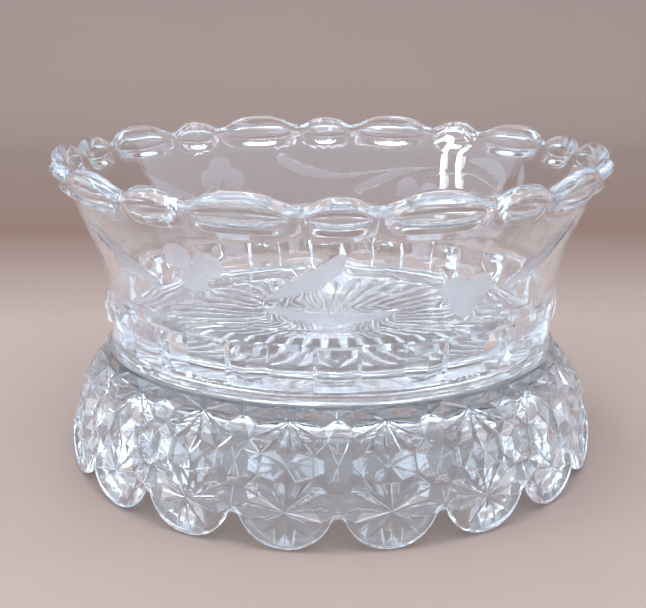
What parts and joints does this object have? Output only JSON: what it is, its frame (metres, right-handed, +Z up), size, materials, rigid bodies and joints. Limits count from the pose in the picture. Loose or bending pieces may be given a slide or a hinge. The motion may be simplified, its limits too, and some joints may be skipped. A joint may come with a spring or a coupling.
{
  "type": "compote",
  "caption": "Pressed glass serving bowl with a flared wall and lobed rim, standing loose on a domed, scalloped glass stand; it lifts straight off.",
  "frame": {"origin": "on the table under the middle of the stand", "axes": "+Z up along the axis of both pieces; -Y is the front, where a small lobe of the rim stands over a notch of the stand's edge"},
  "size_m": [0.2032, 0.2032, 0.1143],
  "materials": {
    "bowl_glass": "polished",
    "stand_glass": "polished"
  },
  "bodies": {
    "stand": {"stand": "stand_glass"},
    "bowl": {"bowl": "bowl_glass"}
  },
  "joints": [
    {"name": "bowl_lift", "type": "slide", "parent": "stand", "child": "bowl", "axis": [0, 0, 1], "range_m": [0, 0.08]}
  ]
}
